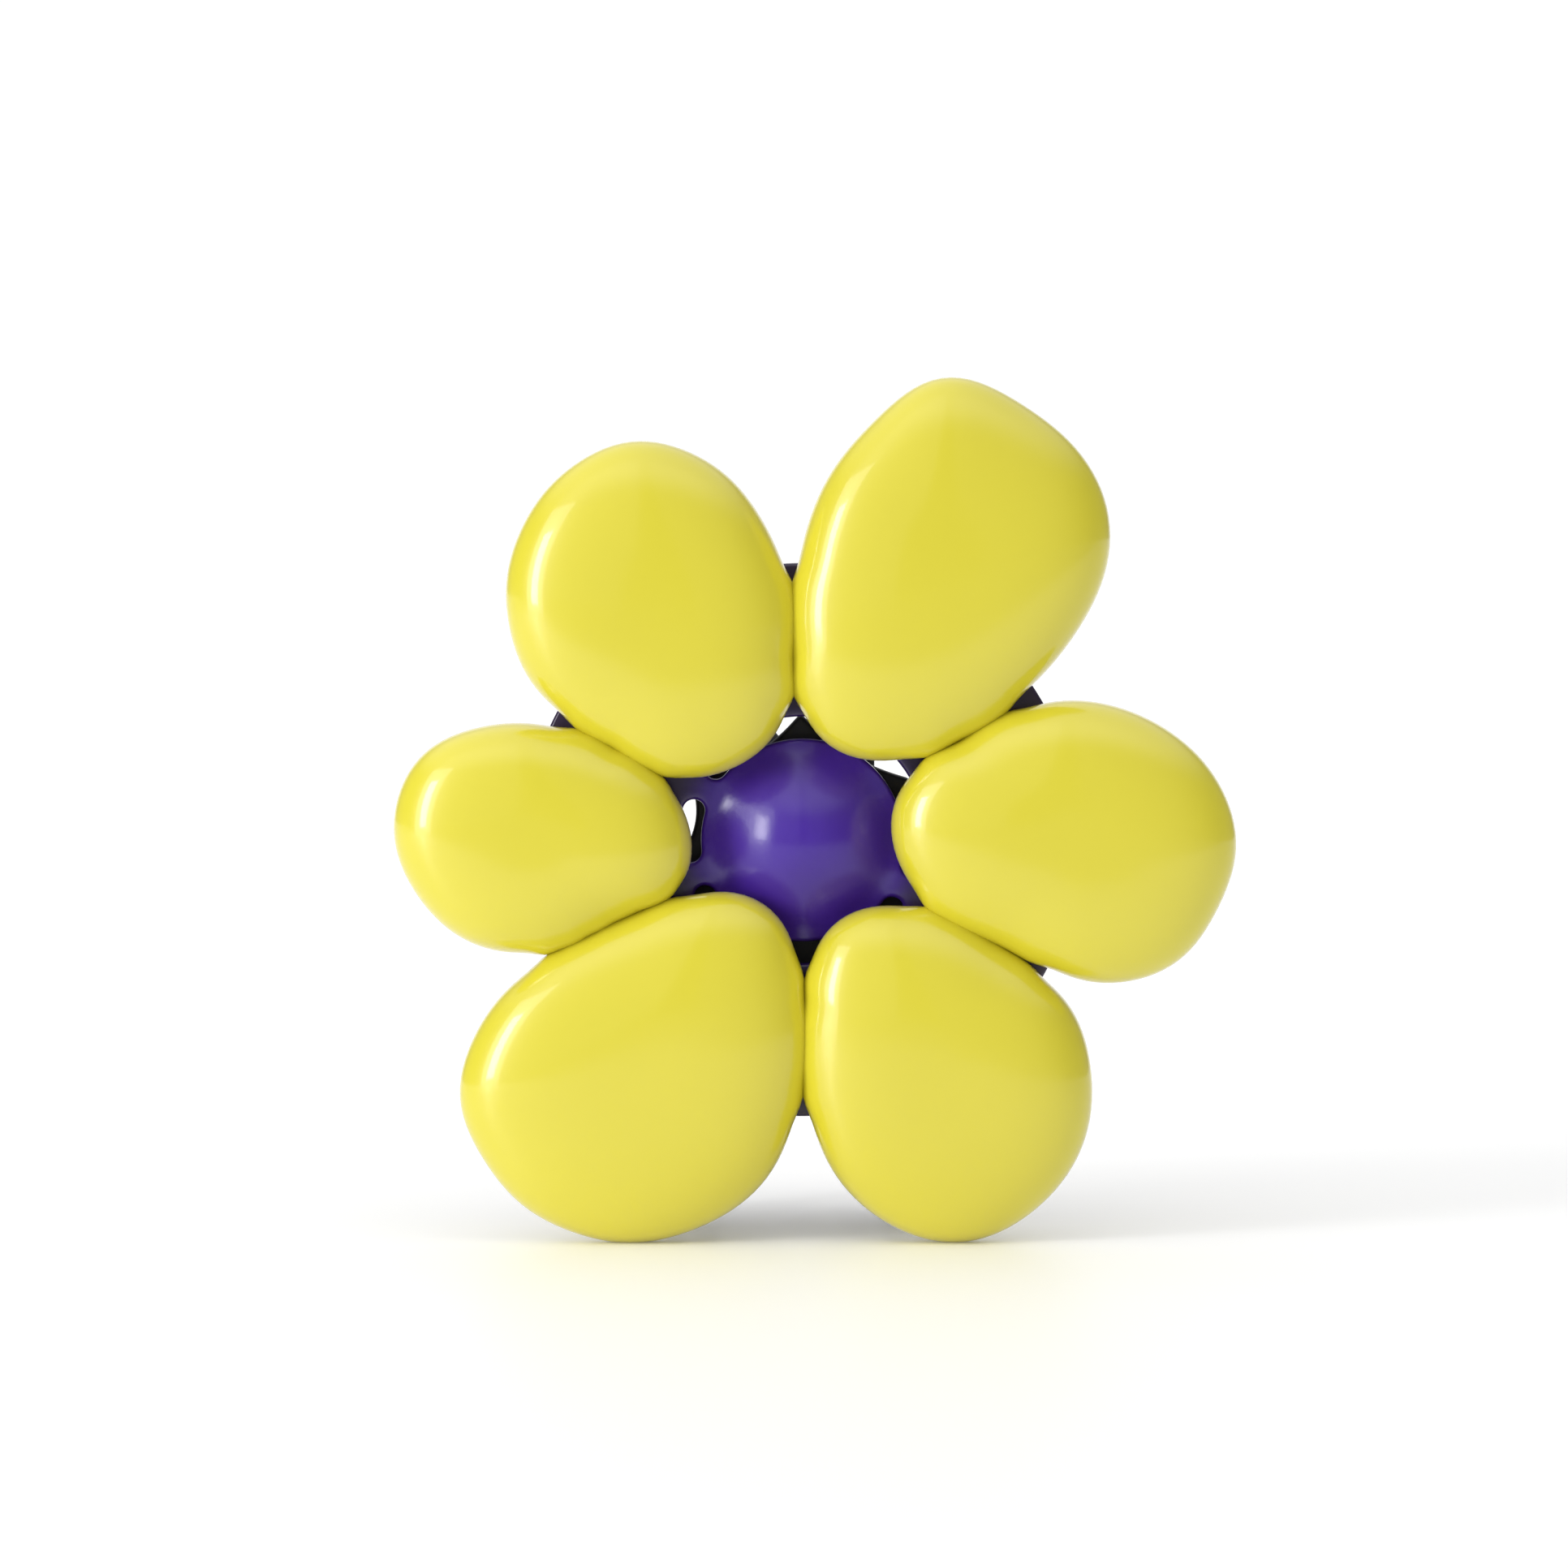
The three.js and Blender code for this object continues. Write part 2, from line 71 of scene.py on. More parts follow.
def fromHub(points):
    # millimetres from the hub's face into the frame, in metres
    return np.asarray(points, float) * mm + hubSpot


def makePiece(name, verts, faces, material=None):
    mesh = bpy.data.meshes.new(name)
    mesh.from_pydata([tuple(v) for v in verts], [], [tuple(int(i) for i in f) for f in faces])
    mesh.validate()
    mesh.polygons.foreach_set("use_smooth", [True] * len(mesh.polygons))
    piece = bpy.data.objects.new(name, mesh)
    bpy.context.scene.collection.objects.link(piece)
    if material:
        mesh.materials.append(material)
    return piece


def faceOutwards(piece):
    work = bmesh.new()
    work.from_mesh(piece.data)
    bmesh.ops.remove_doubles(work, verts=work.verts, dist=mergeWithin)
    bmesh.ops.recalc_face_normals(work, faces=work.faces)
    work.to_mesh(piece.data)
    work.free()
    return piece


def joinPieces(name, pieces):
    # one object from several, keeping their meshes as they are
    work = bmesh.new()
    for part in pieces:
        work.from_mesh(part.data)
    mesh = bpy.data.meshes.new(name)
    work.to_mesh(mesh)
    work.free()
    mesh.materials.append(pieces[0].data.materials[0])
    for part in pieces:
        bpy.data.objects.remove(part)
    joined = bpy.data.objects.new(name, mesh)
    bpy.context.scene.collection.objects.link(joined)
    return joined


# finishes
class Signal:
    # a shader socket that adds Math nodes when it is used in an expression
    def __init__(self, paint, socket):
        self.paint = paint
        self.socket = socket

    def combine(self, operation, first, second):
        node = self.paint.node("ShaderNodeMath", {"operation": operation}, {0: first, 1: second})
        return Signal(self.paint, node.outputs[0])

    def __add__(self, other):
        return self.combine("ADD", self, other)

    def __radd__(self, other):
        return self.combine("ADD", other, self)

    def __sub__(self, other):
        return self.combine("SUBTRACT", self, other)

    def __rsub__(self, other):
        return self.combine("SUBTRACT", other, self)

    def __mul__(self, other):
        return self.combine("MULTIPLY", self, other)

    def __rmul__(self, other):
        return self.combine("MULTIPLY", other, self)


class NodePad:
    # the one way nodes are added to a shader tree
    def __init__(self, tree):
        self.tree = tree

    def node(self, kind, settings=None, sockets=None):
        node = self.tree.nodes.new(kind)
        for key, value in (settings or {}).items():
            if key == "stops":
                ramp = node.color_ramp
                for i, (position, color) in enumerate(value):
                    stop = ramp.elements[i] if i < 2 else ramp.elements.new(position)
                    stop.position = position
                    stop.color = color
            else:
                setattr(node, key, value)
        for key, value in (sockets or {}).items():
            self.plug(node.inputs[key], value)
        return node

    def plug(self, target, value):
        if isinstance(value, Signal):
            value = value.socket
        if isinstance(value, bpy.types.NodeSocket):
            self.tree.links.new(value, target)
        else:
            target.default_value = value

    def between(self, signal, low, high):
        # 0 below low, 1 above high, eased in between
        node = self.node("ShaderNodeMapRange", {"interpolation_type": "SMOOTHSTEP"},
                         {"Value": signal, "From Min": low, "From Max": high})
        return Signal(self, node.outputs["Result"])


class Paint(NodePad):
    # one material and the few moves needed to build it
    def __init__(self, name):
        self.material = bpy.data.materials.new(name)
        self.material.use_nodes = True
        super().__init__(self.material.node_tree)
        self.shader = self.tree.nodes["Principled BSDF"]
        self.coords = self.node("ShaderNodeTexCoord").outputs["Object"]

    def noise(self, scale, detail=2.0, roughness=0.5, stretch=(1, 1, 1)):
        place = self.node("ShaderNodeMapping", {}, {"Vector": self.coords, "Scale": stretch})
        node = self.node("ShaderNodeTexNoise", {}, {"Vector": place.outputs[0], "Scale": scale,
                                                    "Detail": detail, "Roughness": roughness})
        return Signal(self, node.outputs["Fac"])

    def blendColors(self, factor, first, second):
        node = self.node("ShaderNodeMix", {"data_type": "RGBA"}, {"Factor": factor, "A": first, "B": second})
        return node.outputs["Result"]

    def relief(self, height, distance, below=None):
        sockets = {"Height": height, "Distance": distance, "Strength": 1.0}
        if below is not None:
            sockets["Normal"] = below
        return self.node("ShaderNodeBump", {}, sockets).outputs["Normal"]

    def finish(self, **sockets):
        for key, value in sockets.items():
            self.plug(self.shader.inputs[key.replace("_", " ")], value)
        return self.material


petalFinish = {"yellow": (0.745, 0.66, 0.034, 1), "deep": (0.715, 0.632, 0.028, 1), "deepShare": 0.45,
               "cloudScale": 28, "grainScale": 900, "grainShare": 0.06, "roughness": 0.3,
               "coatRoughness": 0.09, "ior": 1.48, "peelScale": 260, "peel": 0.010 * mm}


def petalEnamel():
    # yellow clouded with a deeper tone under a clear coat with a faint orange peel
    paint = Paint("petalEnamel")
    s = petalFinish
    cloud = paint.between(paint.noise(s["cloudScale"], 3.0), 0.35, 0.7)
    grain = paint.noise(s["grainScale"], 2.0)
    color = paint.blendColors(cloud * s["deepShare"], s["yellow"], s["deep"])
    peel = paint.relief(paint.noise(s["peelScale"], 1.5), s["peel"])
    return paint.finish(Base_Color=color, Roughness=s["roughness"] + grain * s["grainShare"], Normal=peel,
                        Coat_Weight=1.0, Coat_Roughness=s["coatRoughness"], IOR=s["ior"])


plateFinish = {"violet": (0.062, 0.019, 0.34, 1), "dusk": (0.046, 0.016, 0.23, 1), "duskShare": 0.35,
               "ringShade": (0.026, 0.011, 0.060, 1), "fadeFrom": 10.0 * mm, "fadeTo": 15.0 * mm,
               "ragged": 2.4 * mm,
               "roughness": 0.13, "mottleScale": 420, "mottleShare": 0.14, "mottleDepth": 0.02 * mm,
               "speckleScale": 2600, "speckleDepth": 0.006 * mm}


def platePaint():
    # violet over the hub, darkening to a dark plum painted shade on the ring and webs, where the petals shade
    # them
    paint = Paint("platePaint")
    s = plateFinish
    mottle = paint.noise(s["mottleScale"], 4.0, 0.65)
    patches = paint.between(paint.noise(110, 3.0), 0.4, 0.7)
    flat = paint.node("ShaderNodeVectorMath", {"operation": "MULTIPLY"}, {0: paint.coords, 1: (1, 0, 1)})
    reach = paint.node("ShaderNodeVectorMath", {"operation": "DISTANCE"},
                       {0: flat.outputs[0], 1: (hubSpot[0], 0, hubSpot[2])}).outputs["Value"]
    # painted shade: outside the hub the colour darkens to plum, with a ragged edge
    shadeReach = Signal(paint, reach) + (paint.noise(260, 3.0) - 0.5) * s["ragged"]
    violet = paint.blendColors(patches * s["duskShare"], s["violet"], s["dusk"])
    color = paint.blendColors(paint.between(shadeReach, s["fadeFrom"], s["fadeTo"]), violet, s["ringShade"])
    grain = paint.relief(mottle, s["mottleDepth"])
    speckle = paint.relief(paint.noise(s["speckleScale"], 2.0), s["speckleDepth"], grain)
    return paint.finish(Base_Color=color, Roughness=s["roughness"] + mottle * s["mottleShare"],
                        Normal=speckle)


jawFinish = {"black": (0.0035, 0.0035, 0.004, 1), "grey": (0.008, 0.008, 0.0085, 1), "roughness": 0.38,
             "cloudScale": 70, "cloudShare": 0.12, "sparkScale": 3200, "sparkDepth": 0.012 * mm,
             "specular": 0.35}


def jawPlastic():
    # black moulded plastic with a spark-eroded grain
    paint = Paint("jawPlastic")
    s = jawFinish
    cloud = paint.noise(s["cloudScale"], 3.0)
    color = paint.blendColors(paint.between(cloud, 0.4, 0.75), s["black"], s["grey"])
    spark = paint.relief(paint.noise(s["sparkScale"], 3.0, 0.6), s["sparkDepth"])
    return paint.finish(Base_Color=color, Roughness=s["roughness"] + cloud * s["cloudShare"], Normal=spark,
                        Specular_IOR_Level=s["specular"])


steelFinish = {"bright": (0.62, 0.61, 0.60, 1), "dull": (0.42, 0.41, 0.41, 1), "roughness": 0.22,
               "drawnScale": 700, "drawnShare": 0.15, "drawnDepth": 0.008 * mm}


def springSteel():
    # drawn steel, with fine marks across x
    paint = Paint("springSteel")
    s = steelFinish
    drawn = paint.noise(s["drawnScale"], 3.0, 0.6, (6, 1, 1))
    color = paint.blendColors(paint.between(drawn, 0.35, 0.75), s["bright"], s["dull"])
    return paint.finish(Base_Color=color, Metallic=1.0, Roughness=s["roughness"] + drawn * s["drawnShare"],
                        Normal=paint.relief(drawn, s["drawnDepth"]))


enamel = petalEnamel()
purplePaint = platePaint()
blackPlastic = jawPlastic()
steel = springSteel()
print("finishes ready")


# petals
petalShape = {"around": 112, "frontRings": 30, "backRings": 14, "plan": 3.4, "face": 2.2, "backPlan": 4.2,
              "backFace": 1.9, "harmonics": 9, "grow": 0.08, "contact": 0.05, "reach": 1.1, "lean": 9,
              "seamDepth": 0.00375, "seamWidth": 0.16, "offPlate": 0.05}


def insetLoop(loop, distance):
    # positive moves a counter-clockwise outline inwards, and a clockwise hole outwards
    along = np.roll(loop, -1, 0) - np.roll(loop, 1, 0)
    along /= np.linalg.norm(along, axis=1)[:, None]
    return loop + np.column_stack([-along[:, 1], along[:, 0]]) * distance


def smoothLoop(points, count, harmonics):
    # the closed curve of low harmonics through evenly spaced points
    loop = points[:, 0] + 1j * points[:, 1]
    terms = np.fft.fft(loop) / len(loop)
    orders = np.fft.fftfreq(len(loop), 1 / len(loop))
    turn = np.arange(count) / count * 2 * math.pi
    keep = np.abs(orders) <= harmonics
    curve = sum(term * np.exp(1j * order * turn) for term, order in zip(terms[keep], orders[keep]))
    return np.column_stack([curve.real, curve.imag])


def petalOutline(name):
    # the outer rim of the CAD shell at its parting line, in order round the petal
    verts = np.array([v.co for v in frame["nodes"][name + "_front"].data.vertices])
    verts = np.unique(np.round((verts - hubSpot) / mm, 4), axis=0)
    rim = verts[verts[:, 1] > verts[:, 1].max() - 0.01][:, [0, 2]]
    middle = rim.mean(0)
    away = rim - middle
    angle = np.arctan2(away[:, 1], away[:, 0])
    order = np.argsort(angle)
    rim, angle, reach = rim[order], angle[order], np.hypot(*away[order].T)
    outer = []
    for i in range(len(rim)):
        near = np.abs(np.angle(np.exp(1j * (angle - angle[i])))) < 0.03
        if reach[i] >= reach[near].max() - 1e-6:
            outer.append(rim[i])
    return np.array(outer), middle, verts[:, 1].max()


def petalLoops():
    # smooth outlines, and how far each point leans out to all but touch a neighbour
    s = petalShape
    loops, middles, partings = [], [], []
    for name in petalNames:
        outline, middle, parting = petalOutline(name)
        loop = smoothLoop(outline, s["around"], s["harmonics"])
        loops.append(insetLoop(loop, -s["grow"]))
        middles.append(middle)
        partings.append(parting)
    rims = loops
    for _ in range(3):
        grown = []
        for i, loop in enumerate(rims):
            others = np.vstack([other for k, other in enumerate(rims) if k != i])
            gap = np.array([np.hypot(*(others - point).T).min() for point in loop]) - s["contact"]
            reach = np.clip((s["reach"] - gap) / (s["reach"] * 0.5), 0, 1)
            push = gap / 2 * reach
            for _ in range(2):
                push = (np.roll(push, 1) + 2 * push + np.roll(push, -1)) / 4
            grown.append(insetLoop(loop, -push[:, None]))
        rims = grown
    return list(zip(loops, rims, middles, partings))


def makePetal(name, loop, rim, middle, parting):
    # rings from the face's middle over the rim, with a fine moulding seam, to the flat back
    s = petalShape
    frontDepth = parting - (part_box(name + "_front")[0].y - hubSpot[1]) / mm
    backDepth = -s["offPlate"] - parting
    rings = []
    for i in range(s["frontRings"]):
        angle = math.pi / 2 * (1 - i / s["frontRings"])
        rings.append((math.cos(angle) ** (2 / s["plan"]),
                      parting - frontDepth * math.sin(angle) ** (2 / s["face"])))
    half = s["seamWidth"] / 2
    rings += [(1.0, parting - half), (1 - s["seamDepth"], parting), (1.0, parting + half)]
    for i in range(1, s["backRings"] + 1):
        angle = math.pi / 2 * i / s["backRings"]
        rings.append((math.cos(angle) ** (2 / s["backPlan"]),
                      parting + backDepth * math.sin(angle) ** (2 / s["backFace"])))
    verts, faces = [], []
    n = s["around"]
    verts.append((middle[0], rings[0][1], middle[1]))
    body = rings[1:-1]
    for share, y in body:
        ring = middle + (loop - middle) * share + (rim - loop) * share ** s["lean"]
        verts += [(x, y, z) for x, z in ring]
    verts.append((middle[0], rings[-1][1], middle[1]))
    last = len(verts) - 1
    for k in range(n):
        after = (k + 1) % n
        faces.append((0, 1 + k, 1 + after))
        for r in range(len(body) - 1):
            a, b = 1 + r * n, 1 + (r + 1) * n
            faces.append((a + k, b + k, b + after, a + after))
        base = 1 + (len(body) - 1) * n
        faces.append((base + k, last, base + after))
    return faceOutwards(makePiece(name, fromHub(verts), faces, enamel))


petals = [makePetal(name, *rim) for name, rim in zip(petalNames, petalLoops())]
print("petals ready")


# moulded plates: flat outlines with rounded edges, put in place by a function
def arc(radius, start, end, middle=(0, 0), spacing=0.4):
    count = max(int(abs(math.radians(end - start)) * radius / spacing), 4)
    angle = np.radians(np.linspace(start, end, count, endpoint=False))
    return np.column_stack([middle[0] + radius * np.cos(angle), middle[1] + radius * np.sin(angle)])


def bezier(points, count):
    t = np.linspace(0, 1, count, endpoint=False)[:, None]
    p = [np.array(point, float) for point in points]
    if len(p) == 3:
        return (1 - t) ** 2 * p[0] + 2 * t * (1 - t) * p[1] + t ** 2 * p[2]
    return (1 - t) ** 3 * p[0] + 3 * t * (1 - t) ** 2 * p[1] + 3 * t ** 2 * (1 - t) * p[2] + t ** 3 * p[3]


def insideLoop(points, loop):
    x, y = points[:, 0][:, None], points[:, 1][:, None]
    ax, ay = loop[:, 0][None], loop[:, 1][None]
    bx, by = np.roll(loop, -1, 0)[:, 0][None], np.roll(loop, -1, 0)[:, 1][None]
    crosses = (ay > y) != (by > y)
    with np.errstate(divide="ignore", invalid="ignore"):
        hit = x < (bx - ax) * (y - ay) / (by - ay) + ax
    return (crosses & hit).sum(1) % 2 == 1


def mouldedPlate(name, outline, holes, thick, edge, place, material, spacing=0.8, steps=5):
    turn = np.linspace(0, math.pi / 2, steps + 1)
    loops = [outline] + list(holes)
    points, drops, edges = [], [], []
    for loop in loops:
        first = len(points)
        count = len(loop)
        for angle in turn:
            points += [tuple(p) for p in insetLoop(loop, edge * (1 - math.cos(angle)))]
            drops += [edge * (1 - math.sin(angle))] * count
        edges += [(first + i, first + (i + 1) % count) for i in range(count)]
    low, high = outline.min(0), outline.max(0)
    across = np.arange(low[0], high[0], spacing)
    up = np.arange(low[1], high[1], spacing * 0.87)
    grid = np.array([(x + (row % 2) * spacing / 2, y) for row, y in enumerate(up) for x in across])
    grid = grid[insideLoop(grid, outline)]
    for hole in holes:
        grid = grid[~insideLoop(grid, hole)]
    border = np.vstack(loops)
    clear = np.array([np.hypot(*(border - g).T).min() > edge + spacing * 0.5 for g in grid])
    points += [tuple(g) for g in grid[clear]]
    drops += [0.0] * int(clear.sum())
    found = geometry.delaunay_2d_cdt([Vector(p) for p in points], edges, [], 1, 1e-5)
    flat = np.array([tuple(v) for v in found[0]])
    source = [ids[0] for ids in found[3]]
    drop = np.array([drops[i] for i in source])
    middles = np.array([flat[list(face)].mean(0) for face in found[2]])
    keep = insideLoop(middles, outline)
    for hole in holes:
        keep &= ~insideLoop(middles, hole)
    triangles = [face for face, kept in zip(found[2], keep) if kept]
    where = {old: new for new, old in enumerate(source)}
    count = len(flat)
    front = place(flat[:, 0], flat[:, 1], drop)
    back = place(flat[:, 0], flat[:, 1], thick - drop)
    faces = [tuple(t) for t in triangles] + [tuple(count + i for i in reversed(t)) for t in triangles]
    for a, b in edges:
        a, b = where[a], where[b]
        faces.append((a, b, b + count, a + count))
    return faceOutwards(makePiece(name, fromHub(np.vstack([front, back])), faces, material))


# flower plate: ring, hub and webs, with a bell-shaped middle
bell = {"steep": 0.118, "foot": 10.9}


def slotLoop(fromWeb, toWeb):
    mid = (plate["inner"] + plate["hub"]) / 2
    half = (plate["inner"] - plate["hub"]) / 2
    trim = math.degrees((plate["webWidth"] / 2 + half) / mid)
    start, end = fromWeb + trim, toWeb - trim

    def spot(angle):
        return (mid * math.cos(math.radians(angle)), mid * math.sin(math.radians(angle)))
    loop = np.vstack([arc(plate["inner"], start, end), arc(half, end, end + 180, spot(end), 0.3),
                      arc(plate["hub"], end, start), arc(half, start + 180, start + 360, spot(start), 0.3)])
    return loop[::-1]


def bellHeight(radius):
    # slope grows as steep * r and dies away at the foot
    foot = bell["foot"]
    r = np.minimum(radius, foot)
    return bell["steep"] * (foot ** 2 / 3 - r ** 2 / 2 + r ** 6 / (6 * foot ** 4))


def placePlate(u, v, w):
    lift = bellHeight(np.hypot(u, v))
    share = 1 - np.clip(w / plate["thick"], 0, 1)
    return np.column_stack([u, w - lift * share, v])


lowWeb, upperWeb, sideWeb = plate["webs"]
slots = [slotLoop(lowWeb, upperWeb), slotLoop(upperWeb, sideWeb), slotLoop(sideWeb, lowWeb + 360)]
flowerPlate = mouldedPlate("flower_plate", arc(plate["outer"], 0, 360), slots, plate["thick"], plate["edge"],
                           placePlate, purplePaint, plate["spacing"])
print("plate ready")

# claw: the two black jaws
claw = {"y": 20.3, "z": -14.0, "halfDepth": 14.4, "thick": 2.2, "tipThick": 1.3, "halfWidth": 19.0,
        "sheetHeight": 28.5, "floor": -43.4, "pitch": 7.0, "toothWidth": 3.0, "overreach": 35.0, "edge": 0.5,
        "combRise": 13.0, "combHalf": 17.5, "combPower": 1.45, "tipRadius": 0.85, "taper": 0.14}
flange = {"front": 2.9, "thick": 2.0, "lowerRadius": 14.6, "leftRadius": 13.4, "edge": 0.4,
          "tips": ((11.9, 6.5), (-0.2, 13.7), (-12.3, 6.4)), "neckTop": -8.4, "neckHalf": 10, "earFoot": -6.5,
          "earSink": 0.4}
lugs = {"barrel": 2.8, "bore": 1.15, "frontInner": 7.2, "frontOuter": 9.6, "rearInner": 4.7, "rearOuter": 6.9,
        "edge": 0.3}


def ellipsePoint(side, degrees, height):
    angle = math.radians(degrees)
    return (claw["y"] + side * claw["halfDepth"] * math.cos(angle), claw["z"] - height * math.sin(angle))


def toothBottom(x):
    # the comb's lower edge: on the table at the sides, higher in the middle
    return claw["floor"] + claw["combRise"] * (1 - min(abs(x) / claw["combHalf"], 1)) ** claw["combPower"]


def makeTooth(side, x):
    # a bar with rounded corners, swept round the ellipse and thinning to a blunt tip
    height = claw["z"] - toothBottom(x) - claw["tipRadius"]
    ends = 90 + claw["overreach"]
    path = np.array([ellipsePoint(side, angle, height) for angle in np.linspace(0, ends, 44)])
    along = np.gradient(path, axis=0)
    along /= np.linalg.norm(along, axis=1)[:, None]
    reach = np.concatenate([[0], np.cumsum(np.linalg.norm(np.diff(path, axis=0), axis=1))])
    extra = np.array([path[-1] + along[-1] * d for d in (0.25, 0.42, 0.5)])
    path = np.vstack([path, extra])
    along = np.vstack([along, np.repeat(along[-1:], 3, 0)])
    t = np.clip(np.concatenate([reach, [reach[-1]] * 3]) / reach[-1], 0, 1)
    nose = np.ones(len(path))
    nose[-4:] = (0.97, 0.86, 0.62, 0.25)
    section = []
    for i in range(20):
        angle = 2 * math.pi * i / 20
        c, s = math.cos(angle), math.sin(angle)
        section.append((math.copysign(abs(c) ** 0.5, c), math.copysign(abs(s) ** 0.5, s)))
    verts, faces = [], []
    for i, (spot, direction) in enumerate(zip(path, along)):
        thick = (claw["thick"] + (claw["tipThick"] - claw["thick"]) * t[i]) / 2 * nose[i]
        wide = claw["toothWidth"] / 2 * (1 - claw["taper"] * t[i]) * (0.5 + 0.5 * nose[i])
        normal = np.array([-direction[1], direction[0]])
        for c, s in section:
            y, z = spot + normal * s * thick
            verts.append((x + c * wide, y, z))
    n = len(section)
    for i in range(len(path) - 1):
        for k in range(n):
            after = (k + 1) % n
            faces.append((i * n + k, i * n + after, (i + 1) * n + after, (i + 1) * n + k))
    faces.append(tuple(range(n)))
    faces.append(tuple(range((len(path) - 1) * n, len(path) * n)))
    return faceOutwards(makePiece("tooth", fromHub(verts), faces, blackPlastic))


def teeth(side, count):
    first = -claw["pitch"] * (count - 1) / 2
    return [makeTooth(side, first + i * claw["pitch"]) for i in range(count)]


class Route:
    # a smooth line in (y, z) that a flat outline can be wrapped along
    samples = 400

    def __init__(self, points):
        p = np.array(points, float)
        knots = np.concatenate([[0], np.cumsum(np.linalg.norm(np.diff(p, axis=0), axis=1) ** 0.5)])
        dense = np.linspace(0, knots[-1], self.samples)
        slopes = np.gradient(p, knots, axis=0)
        spot = np.clip(np.searchsorted(knots, dense, side="right") - 1, 0, len(p) - 2)
        span = (knots[spot + 1] - knots[spot])[:, None]
        t = (dense - knots[spot])[:, None] / span
        self.line = ((2 * t ** 3 - 3 * t ** 2 + 1) * p[spot] + (t ** 3 - 2 * t ** 2 + t) * span * slopes[spot]
                     + (3 * t ** 2 - 2 * t ** 3) * p[spot + 1] + (t ** 3 - t ** 2) * span * slopes[spot + 1])
        self.length = np.concatenate([[0], np.cumsum(np.linalg.norm(np.diff(self.line, axis=0), axis=1))])
        along = np.gradient(self.line, axis=0)
        self.along = along / np.linalg.norm(along, axis=1)[:, None]

    def atHeight(self, z):
        # distance along the line where it passes a height, the line running downwards
        return float(np.interp(-z, -self.line[:, 1], self.length))

    def wrap(self, u, v, w, thick):
        y = np.interp(v, self.length, self.line[:, 0])
        z = np.interp(v, self.length, self.line[:, 1])
        dy = np.interp(v, self.length, self.along[:, 0])
        dz = np.interp(v, self.length, self.along[:, 1])
        off = w - thick / 2
        return np.column_stack([u, y - dz * off, z + dy * off])


def mirrored(half):
    # a closed outline from its right-hand side, listed from top to bottom
    left = half[::-1] * np.array([-1, 1])
    return np.vstack([half, left])


def resample(loop, spacing=0.45):
    closed = np.vstack([loop, loop[:1]])
    reach = np.concatenate([[0], np.cumsum(np.linalg.norm(np.diff(closed, axis=0), axis=1))])
    steps = np.linspace(0, reach[-1], int(reach[-1] / spacing), endpoint=False)
    even = np.column_stack([np.interp(steps, reach, closed[:, 0]), np.interp(steps, reach, closed[:, 1])])
    for _ in range(3):
        even = (np.roll(even, 1, 0) + 2 * even + np.roll(even, -1, 0)) / 4
    area = np.sum(even[:, 0] * np.roll(even[:, 1], -1) - even[:, 1] * np.roll(even[:, 0], -1))
    return even if area > 0 else even[::-1]


def combSide(route, top, neck):
    # the right-hand edge of a comb, in (x, distance along the route)
    half, z = claw["halfWidth"], claw["z"]
    edge = np.vstack([bezier([(neck, top), (neck, z + 2), (half, z + 3), (half, z - 5)], 40),
                      [(half, z - 5)], bezier([(half, z - 9), (half / 2, z - 4.5), (0, z - 4)], 40)])
    edge[:, 1] = [route.atHeight(value) for value in edge[:, 1]]
    return edge


def barrelArm(name, start, end, arm):
    # one hinge ear: a plate in (y, z) with the pin's bore through it
    loop = resample(arm, 0.3)
    bore = arc(lugs["bore"], 0, 360, (hinge[1], hinge[2]), 0.25)[::-1]
    low = min(start, end)
    thick = abs(end - start)
    return mouldedPlate(name, loop, [bore], thick, lugs["edge"],
                        lambda u, v, w: np.column_stack([low + w, u, v]), blackPlastic, 0.8, 3)


def frontJaw():
    # a star-shaped flange on the hub, a comb hung below it and two hinge ears
    foot, side = flange["lowerRadius"], flange["leftRadius"]
    tipRight, tipTop, tipLeft = flange["tips"]
    right = (foot * math.cos(math.radians(-30)), foot * math.sin(math.radians(-30)))
    left = (side * math.cos(math.radians(188)), side * math.sin(math.radians(188)))
    star = np.vstack([bezier([right, (8.4, -2.5), tipRight], 30), bezier([tipRight, (4.5, 8.3), tipTop], 34),
                      bezier([tipTop, (-4.5, 8.2), tipLeft], 34), bezier([tipLeft, (-10.4, 2.2), left], 24),
                      arc(foot, 194, 330)])
    front = flange["front"]
    pieces = [mouldedPlate("flange", resample(star, 0.35), [], flange["thick"], flange["edge"],
                           lambda u, v, w: np.column_stack([u, front + w, v]), blackPlastic)]
    top = flange["neckTop"]
    line = [(claw["y"] - claw["halfDepth"], z) for z in (top + 3, top, -11.5)]
    line += [ellipsePoint(-1, angle, claw["sheetHeight"]) for angle in range(0, 41, 8)]
    route = Route(line)
    outline = resample(mirrored(combSide(route, top + 1.5, flange["neckHalf"])))
    pieces.append(mouldedPlate("frontComb", outline, [], claw["thick"], claw["edge"],
                               lambda u, v, w: route.wrap(u, v, w, claw["thick"]), blackPlastic))
    back = front + flange["thick"] - flange["earSink"]
    barrel = arc(lugs["barrel"], -90, 90, (hinge[1], hinge[2]), 0.3)
    top = hinge[2] + lugs["barrel"]
    arm = np.vstack([[(back, hinge[2] + flange["earFoot"])], barrel, [(hinge[1], top), (back, top)]])
    for side in (-1, 1):
        pieces.append(barrelArm("ear", side * lugs["frontInner"], side * lugs["frontOuter"], arm))
    return joinPieces("front_jaw", pieces + teeth(-1, 6))


